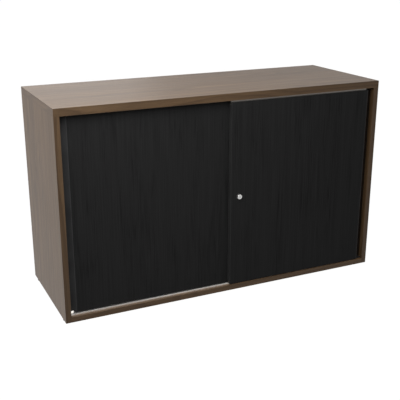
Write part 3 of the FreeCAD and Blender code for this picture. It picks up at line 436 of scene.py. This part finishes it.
def zinc_plate():
    """Zinc plated steel with a faint blue bloom."""
    look = colours()
    finish = Finish("zinc_plated_steel", roughness=0.35, metallic=1.0)
    bloom = finish.noise(evenly(220.0), detail=3.0, roughness=0.6)
    finish.colour(finish.mix(finish.levels(bloom, 0.3, 0.7), look.steel, look.steel_bloom))
    finish.roughness(finish.levels(bloom, 0.3, 0.7, bottom=0.28, top=0.45))
    finish.bump(bloom, distance=0.00001, strength=0.5)
    return finish.material


def spline_beech():
    """Pale hardwood of the loose splines, grain along Y."""
    look = colours()
    finish = Finish("beech", roughness=0.6, specular=0.3)
    fibres = finish.noise(along_grain("Y", 8.0, 500.0), detail=3.0, roughness=0.6)
    finish.colour(finish.mix(finish.levels(fibres, 0.3, 0.7), look.beech, shaded(look.beech, 0.7)))
    finish.bump(fibres, distance=0.00003, strength=0.5)
    return finish.material


# Finishes made so far, by name.
finishes = {}

# Roughness and specular level of each plastic, whose colour is the setting of the same name.
PLASTICS = {
    # One grip plastic in a lit and a shaded copy: painted light on the rear grip, painted shade on the front
    # grip.
    "front_grip": (0.28, 0.22),
    "rear_grip": (0.35, 0.10),
    "moulding": (0.50, 0.15),
    "nylon": (0.42, 0.40),
    "rubber": (0.75, 0.10),
    # The edge plastic is lighter than the doors' black: painted light on the narrow edge faces.
    "ash_edge": (0.50, 0.10),
}


def finish_of(name, maker, *arguments):
    """A finish that is made once and then shared."""
    if name not in finishes:
        finishes[name] = maker(*arguments)
    return finishes[name]


def walnut_along(axis, tone=1.0):
    """Walnut decor with its grain along an axis, in a tone that scales its colours; below 1 it paints shade.
    """
    return finish_of(f"walnut {axis} {tone}", walnut, axis, tone)


def ash_upright():
    """Black ash decor with upright grain."""
    return finish_of("ash", black_ash, "Z")


def raw_core():
    """Raw particle board."""
    return finish_of("core", particle_board)


def plastic(name):
    """The plastic or rubber of a name."""
    roughness, specular = PLASTICS[name]
    ground = tuple(getattr(colours(), name))
    return finish_of(name, moulded, f"{name}_plastic", ground, roughness, specular)


def aluminium():
    """Clear anodised aluminium."""
    return finish_of("aluminium", extruded_aluminium, "anodised_aluminium", tuple(colours().aluminium))


def bronze():
    """Aluminium in a darker colour: painted shade for the top track and runners under the top panel."""
    return finish_of("bronze", extruded_aluminium, "bronze_anodised_aluminium", tuple(colours().bronze))


def nickel():
    """Nickel plate that is faced about the push button's axis."""
    low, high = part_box("lock_plunger")
    return finish_of("nickel", turned_nickel, (low + high) / 2)


def steel():
    """Zinc plated steel."""
    return finish_of("steel", zinc_plate)


def whole_faces(node):
    """A bmesh of a node's solids, with their triangles joined into whole faces."""
    bm = bmesh.new()
    bm.from_mesh(frame["nodes"][node].data)
    bmesh.ops.remove_doubles(bm, verts=bm.verts, dist=MERGE)
    bmesh.ops.dissolve_limit(bm, angle_limit=FLAT, verts=bm.verts, edges=bm.edges)
    return bm


def ledge_of(node):
    """Height of a node's highest ledge below its top."""
    heights = {round(vert.co.z, 6) for vert in frame["nodes"][node].data.vertices}
    return sorted(heights)[-2]


def touches(edge, neighbours):
    """Whether an edge lies on a neighbour that its piece is flush with."""
    for low, high in neighbours:
        if all(low[i] - NEAR < v.co[i] < high[i] + NEAR for v in edge.verts for i in range(3)):
            return True
    return False


def soften(bm, arris, neighbours=()):
    """Round the free outer corners of a piece."""
    boxes = [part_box(name) for name in neighbours]
    corners = [
        edge for edge in bm.edges
        if edge.is_manifold and edge.is_convex and edge.calc_face_angle() > CORNER
        and not touches(edge, boxes)
    ]
    if not corners:
        raise RuntimeError("a piece has no corners to soften")
    bmesh.ops.bevel(bm, geom=corners, offset=arris, offset_type="OFFSET", segments=ARRIS_STEPS,
                    profile=0.5, affect="EDGES", clamp_overlap=True, material=-1)


def add_piece(bm, name, body, materials):
    """Turn a bmesh into a finished piece that moves with a body."""
    mesh = bpy.data.meshes.new(name)
    bm.to_mesh(mesh)
    bm.free()
    for material in materials:
        mesh.materials.append(material)
    mesh.shade_smooth()
    mesh.set_sharp_from_angle(angle=CORNER)
    piece = bpy.data.objects.new(name, mesh)
    bpy.context.scene.collection.objects.link(piece)
    weighted = piece.modifiers.new("Flat faces stay flat", "WEIGHTED_NORMAL")
    weighted.keep_sharp = True
    weighted.weight = FLAT_LEAD
    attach(piece, body)
    return piece


def dress(node, name, arris, materials, neighbours=(), choose=None, part_at=None):
    """Stand a softened and finished copy in for a node.

    Its edges against the neighbours stay sharp. A chooser gives each face the number of its
    material, and the faces are first parted at a place along X, where one is given.
    """
    bm = whole_faces(node)
    if part_at is not None:
        bmesh.ops.bisect_plane(bm, geom=[*bm.verts, *bm.edges, *bm.faces], dist=MERGE,
                               plane_co=RIGHT * part_at, plane_no=RIGHT)
    if choose is not None:
        for face in bm.faces:
            face.material_index = choose(face)
    soften(bm, arris, [other for other in neighbours if other != node])
    piece = add_piece(bm, name, frame["nodes"][node]["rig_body"], materials)
    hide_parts(node)
    return piece


def raw_behind(node, inward=None):
    """Chooser of a board's materials: 0 for decor, 1 for raw core and 2 for the inner face's decor.

    The rear edge and the cut-outs are raw. The inner face looks inward, where that is given.
    Its walnut is a darker copy: painted shade for the inside of the cabinet.
    """
    low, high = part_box(node)

    def choose(face):
        """The number of a face's material."""
        centre = face.calc_center_median()
        rear = face.normal.dot(REARWARD) > FACING and centre.y > high.y - NEAR
        cut_out = all(low[i] + NEAR < centre[i] < high[i] - NEAR for i in range(3))
        if rear or cut_out:
            return 1
        return 2 if inward is not None and face.normal.dot(inward) > FACING else 0

    return choose


def open_edges(bm):
    """The edges along the rim of an open shape."""
    return [edge for edge in bm.edges if edge.is_boundary]


def new_points(made):
    """The points that an extrusion has made."""
    return [item for item in made["geom"] if isinstance(item, bmesh.types.BMVert)]


def screw_head(name, seat, outward, body):
    """Flat screw head with a cross recess, standing on its seat and looking outward."""
    look = shape()
    bm = bmesh.new()
    bmesh.ops.create_grid(bm, x_segments=5, y_segments=5, size=1.0)
    # Lines at 1, 3 and 5 fifths of the radius move to the sides of the cross, its ends and the rim.
    lines = {1: CROSS_ARM, 3: CROSS_REACH, 5: 1.0}
    for vert in bm.verts:
        vert.co.xy = Vector([math.copysign(lines[abs(round(5 * place))], place) for place in vert.co.xy])
    for vert in {vert for edge in open_edges(bm) for vert in edge.verts}:
        vert.co.xy = vert.co.xy.normalized()
    cross = []
    for face in bm.faces:
        aside, out = sorted(abs(place) for place in face.calc_center_median().xy)
        if aside < CROSS_ARM and out < CROSS_REACH:
            cross.append(face)
    for vert in bm.verts:
        vert.co.z = HEAD_DOME * (1.0 - vert.co.xy.length_squared)
    recess = new_points(bmesh.ops.extrude_face_region(bm, geom=cross))
    bmesh.ops.translate(bm, verts=recess, vec=-CROSS_DEPTH * UP)
    bmesh.ops.scale(bm, verts=recess, vec=(CROSS_TAPER, CROSS_TAPER, 1.0))
    skirt = new_points(bmesh.ops.extrude_edge_only(bm, edges=open_edges(bm)))
    bmesh.ops.translate(bm, verts=skirt, vec=-UP)
    bmesh.ops.contextual_create(bm, geom=open_edges(bm))
    bmesh.ops.scale(bm, verts=bm.verts, vec=(look.screw_radius, look.screw_radius, look.screw_rise))
    bmesh.ops.recalc_face_normals(bm, faces=bm.faces)
    turn = UP.rotation_difference(outward).to_matrix().to_4x4()
    top = seat + outward * look.screw_rise
    bmesh.ops.transform(bm, matrix=Matrix.Translation(top) @ turn, verts=bm.verts)
    return add_piece(bm, name, body, [steel()])


# ------------------------------------------------------------------------ operators
class CABINET_OT_boards(bpy.types.Operator):
    """Finish the carcass boards in walnut decor with raw rear edges"""

    bl_idname = "cabinet.boards"
    bl_label = "Carcass Boards"

    def execute(self, context):
        # The side panels' inner faces get a darker copy of the walnut: painted shade for the inside of the
        # cabinet.
        inner_painted_shade = 0.64
        grains = {
            "top_panel": "X", "bottom_panel": "X", "left_side_panel": "Z", "right_side_panel": "Z",
            "centre_partition": "Z", "left_shelf": "X", "right_shelf": "X",
        }
        inward = {"left_side_panel": RIGHT, "right_side_panel": -RIGHT}
        arris = shape().board_arris
        for node, axis in grains.items():
            materials = [walnut_along(axis), raw_core()]
            if node in inward:
                materials.append(walnut_along(axis, inner_painted_shade))
            choose = raw_behind(node, inward.get(node))
            dress(node, f"{node}_board", arris, materials, CARCASS_BOARDS, choose)
        dress("back_panel", "back_panel_board", arris, [walnut_along("Z")])
        return {"FINISHED"}


class CABINET_OT_edge_bands(bpy.types.Operator):
    """Finish the edge bands of the carcass with the grain along each band"""

    bl_idname = "cabinet.edge_bands"
    bl_label = "Edge Bands"

    def execute(self, context):
        # Front-facing bands get darker walnut copies: painted shade for the front's lesser light; the right
        # one darkest.
        bands = {
            "top_front_edging": ("X", 0.69), "top_left_edging": ("Y", 1.0), "top_right_edging": ("Y", 1.0),
            "left_side_edging": ("Z", 0.63), "right_side_edging": ("Z", 0.57), "bottom_edging": ("X", 0.73),
        }
        for node, (axis, tone) in bands.items():
            dress(node, f"{node}_band", shape().band_arris, [walnut_along(axis, tone)], CARCASS_BOARDS)
        return {"FINISHED"}


class CABINET_OT_fittings(bpy.types.Operator):
    """Finish the shelf supports, corner splines, glides and rubber stops"""

    bl_idname = "cabinet.fittings"
    bl_label = "Carcass Fittings"

    def execute(self, context):
        look = shape()
        beech = finish_of("beech", spline_beech)
        dress("shelf_supports", "shelf_support_angles", look.metal_arris, [steel()])
        dress("corner_splines", "corner_spline_strips", look.board_arris, [beech])
        dress("glides", "floor_glides", look.moulded_arris, [plastic("moulding")])
        for end in ("front_closing", "front_opening", "rear_closing", "rear_opening"):
            dress(f"{end}_stop", f"{end}_stop_rubber", look.moulded_arris, [plastic("rubber")])
        return {"FINISHED"}


class CABINET_OT_tracks(bpy.types.Operator):
    """Finish the top and bottom tracks and screw the bottom track down"""

    bl_idname = "cabinet.tracks"
    bl_label = "Tracks"

    def execute(self, context):
        look = shape()
        low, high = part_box("bottom_track")
        axle_ends = [corner.y for door in ("front", "rear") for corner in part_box(f"{door}_roller_axles")]
        middle = sum(axle_ends) / len(axle_ends)
        base_top = ledge_of("bottom_track")
        # From here to the rib's closing end the rib is painted black: painted shade for the dark corner.
        painted_shade_from = high.x - look.painted_shade_length

        def darkened(face):
            """Black moulding for the closing end of the front rib, painted shade for the dark corner there;
            aluminium for the rest.
            """
            centre = face.calc_center_median()
            on_rib = centre.y < middle and centre.z > base_top + NEAR
            return 1 if on_rib and centre.x > painted_shade_from else 0

        # The top track is aluminium darkened as painted shade under the top panel.
        dress("top_track", "top_track_extrusion", look.metal_arris, [bronze()])
        dress("bottom_track", "bottom_track_extrusion", look.metal_arris,
              [aluminium(), plastic("moulding")], choose=darkened, part_at=painted_shade_from)
        first = low.x + look.screw_margin
        last = high.x - look.screw_margin
        for number in range(look.track_screws):
            across = first + (last - first) * number / (look.track_screws - 1)
            seat = Vector((across, middle, base_top))
            screw_head(f"track_screw_{number + 1}", seat, UP, "carcass")
        return {"FINISHED"}


class CABINET_OT_doors(bpy.types.Operator):
    """Finish both door boards, their edge bands, finger grips and top runners"""

    bl_idname = "cabinet.doors"
    bl_label = "Doors"

    def execute(self, context):
        look = shape()
        for door in ("front", "rear"):
            flush = [f"{door}_door_{part}" for part in ("panel", "edging", "grip")]
            dress(f"{door}_door_panel", f"{door}_door_board", look.board_arris,
                  [ash_upright(), raw_core()], flush, raw_behind(f"{door}_door_panel"))
            # The edge bands take the lighter black: painted light on the narrow edge faces.
            dress(f"{door}_door_edging", f"{door}_door_band", look.board_arris,
                  [plastic("ash_edge")], flush)
            # Each door's grip takes its own copy of the one grip plastic: painted light on the rear, painted
            # shade on the front.
            dress(f"{door}_door_grip", f"{door}_door_finger_grip", look.moulded_arris,
                  [plastic(f"{door}_grip")], flush)
            # The runners are aluminium darkened as painted shade under the top panel.
            dress(f"{door}_door_top_runner", f"{door}_door_runner", look.metal_arris, [bronze()])
        return {"FINISHED"}


class CABINET_OT_running_gear(bpy.types.Operator):
    """Finish the rollers, their housings and their axles"""

    bl_idname = "cabinet.running_gear"
    bl_label = "Running Gear"

    def execute(self, context):
        look = shape()
        for door in ("front", "rear"):
            dress(f"{door}_roller_housings", f"{door}_roller_boxes", look.moulded_arris,
                  [plastic("moulding")])
            dress(f"{door}_roller_axles", f"{door}_roller_pins", look.metal_arris, [steel()])
            for side in ("left", "right"):
                dress(f"{door}_{side}_roller", f"{door}_{side}_wheel", look.moulded_arris,
                      [plastic("nylon")])
        return {"FINISHED"}


class CABINET_OT_lock(bpy.types.Operator):
    """Finish the lock housing with its screws, the push button, key plug and keeper"""

    bl_idname = "cabinet.lock"
    bl_label = "Lock"

    def execute(self, context):
        look = shape()
        pieces = {
            "lock_housing": "lock_body", "lock_plunger": "lock_push_button", "lock_plug": "lock_key_plug",
            "lock_keeper": "lock_keeper_bush",
        }
        for node, name in pieces.items():
            dress(node, name, look.metal_arris, [nickel()])
        low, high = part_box("lock_housing")
        middle = (low.x + high.x) / 2
        levels = {"lower": low.z + look.lock_screw_inset, "upper": high.z - look.lock_screw_inset}
        for name, level in levels.items():
            seat = Vector((middle, high.y, level))
            screw_head(f"lock_{name}_screw", seat, REARWARD, "front_door")
        return {"FINISHED"}


def seen(tree):
    """1 for rays that show the backdrop: from the camera, off gloss and through glass."""
    rays = tree.nodes.new("ShaderNodeLightPath")
    total = rays.outputs["Is Camera Ray"]
    for name in ("Is Glossy Ray", "Is Transmission Ray"):
        step = tree.nodes.new("ShaderNodeMath")
        step.operation = "MAXIMUM"
        tree.links.new(total, step.inputs[0])
        tree.links.new(rays.outputs[name], step.inputs[1])
        total = step.outputs["Value"]
    return total


def studio_floor(studio):
    """Wide pale floor that shows white and keeps the cabinet's shadow."""
    bm = bmesh.new()
    bmesh.ops.create_grid(bm, x_segments=1, y_segments=1, size=FLOOR_REACH)
    bmesh.ops.translate(bm, verts=bm.verts, vec=-FLOOR_DROP * UP)
    mesh = bpy.data.meshes.new("studio_floor")
    bm.to_mesh(mesh)
    bm.free()
    material = bpy.data.materials.new("pale_floor")
    material.use_nodes = True
    tree = material.node_tree
    shader = tree.nodes["Principled BSDF"]
    shader.inputs["Base Color"].default_value = (*studio.floor, 1.0)
    shader.inputs["Roughness"].default_value = 0.9
    shader.inputs["Specular IOR Level"].default_value = 0.0
    glow = tree.nodes.new("ShaderNodeEmission")
    glow.inputs["Strength"].default_value = FLOOR_WHITE
    share = tree.nodes.new("ShaderNodeMath")
    share.operation = "MULTIPLY"
    tree.links.new(seen(tree), share.inputs[0])
    share.inputs[1].default_value = studio.floor_glow
    blend = tree.nodes.new("ShaderNodeMixShader")
    tree.links.new(share.outputs["Value"], blend.inputs["Fac"])
    tree.links.new(shader.outputs["BSDF"], blend.inputs[1])
    tree.links.new(glow.outputs["Emission"], blend.inputs[2])
    tree.links.new(blend.outputs["Shader"], tree.nodes["Material Output"].inputs["Surface"])
    mesh.materials.append(material)
    floor = bpy.data.objects.new("studio_floor", mesh)
    bpy.context.scene.collection.objects.link(floor)


def backdrop(studio):
    """White all round for the rays that see it, and a lower even light for the rest."""
    world = bpy.data.worlds.new("white_studio")
    bpy.context.scene.world = world
    world.use_nodes = True
    tree = world.node_tree
    background = tree.nodes["Background"]
    background.inputs["Color"].default_value = (1.0, 1.0, 1.0, 1.0)
    level = tree.nodes.new("ShaderNodeMapRange")
    tree.links.new(seen(tree), level.inputs["Value"])
    level.inputs["To Min"].default_value = studio.sky
    level.inputs["To Max"].default_value = 1.0
    tree.links.new(level.outputs["Result"], background.inputs["Strength"])


def soft_box(name, power, place, aim, width, height):
    """Area light that is felt but not seen."""
    light = bpy.data.lights.new(name, "AREA")
    light.energy = power
    light.shape = "RECTANGLE"
    light.size = width
    light.size_y = height
    lamp = bpy.data.objects.new(name, light)
    bpy.context.scene.collection.objects.link(lamp)
    lamp.location = place
    lamp.rotation_euler = (Vector(aim) - Vector(place)).to_track_quat("-Z", "Y").to_euler()
    lamp.visible_camera = False


def studio_camera(studio):
    """Camera that looks down at the front left corner."""
    lens = bpy.data.cameras.new("camera")
    lens.lens = studio.lens
    lens.sensor_width = SENSOR_WIDTH
    camera = bpy.data.objects.new("camera", lens)
    bpy.context.scene.collection.objects.link(camera)
    camera.location = studio.camera_place
    camera.rotation_euler = (math.pi / 2 - studio.camera_tilt, 0.0, studio.camera_turn)
    bpy.context.scene.camera = camera


class CABINET_OT_studio(bpy.types.Operator):
    """Set up the pale floor, the white backdrop, the soft light and the camera"""

    bl_idname = "cabinet.studio"
    bl_label = "Studio"

    def execute(self, context):
        studio = context.scene.cabinet_studio
        context.scene.view_settings.view_transform = "Standard"
        studio_floor(studio)
        backdrop(studio)
        for name, (place, aim, width, height) in SOFT_BOXES.items():
            soft_box(f"{name}_light", getattr(studio, name), place, aim, width, height)
        studio_camera(studio)
        return {"FINISHED"}


class CABINET_PT_panel(bpy.types.Panel):
    """Lists the steps that finish the cabinet"""

    bl_idname = "CABINET_PT_panel"
    bl_label = "Sliding Door Cabinet"
    bl_space_type = "VIEW_3D"
    bl_region_type = "UI"
    bl_category = "Cabinet"

    def draw(self, context):
        column = self.layout.column()
        for step in STEPS:
            column.operator(step.bl_idname)
        for settings in SETTINGS:
            group = getattr(context.scene, settings)
            for name in group.__annotations__:
                column.prop(group, name)


STEPS = (
    CABINET_OT_boards, CABINET_OT_edge_bands, CABINET_OT_fittings, CABINET_OT_tracks, CABINET_OT_doors,
    CABINET_OT_running_gear, CABINET_OT_lock, CABINET_OT_studio,
)
SETTINGS = {
    "cabinet_shape": CabinetShape,
    "cabinet_colours": CabinetColours,
    "cabinet_studio": StudioSettings,
}


def register():
    """Add the cabinet's settings, steps and panel."""
    for group in (*SETTINGS.values(), *STEPS, CABINET_PT_panel):
        bpy.utils.register_class(group)
    for name, group in SETTINGS.items():
        setattr(bpy.types.Scene, name, PointerProperty(type=group))


def unregister():
    """Take the cabinet's settings, steps and panel away again."""
    for name in SETTINGS:
        delattr(bpy.types.Scene, name)
    for group in reversed((*SETTINGS.values(), *STEPS, CABINET_PT_panel)):
        bpy.utils.unregister_class(group)


def main():
    """Register the add-on and run its steps in order."""
    register()
    for step in STEPS:
        area, name = step.bl_idname.split(".")
        getattr(getattr(bpy.ops, area), name)()


if __name__ == "__main__":
    main()
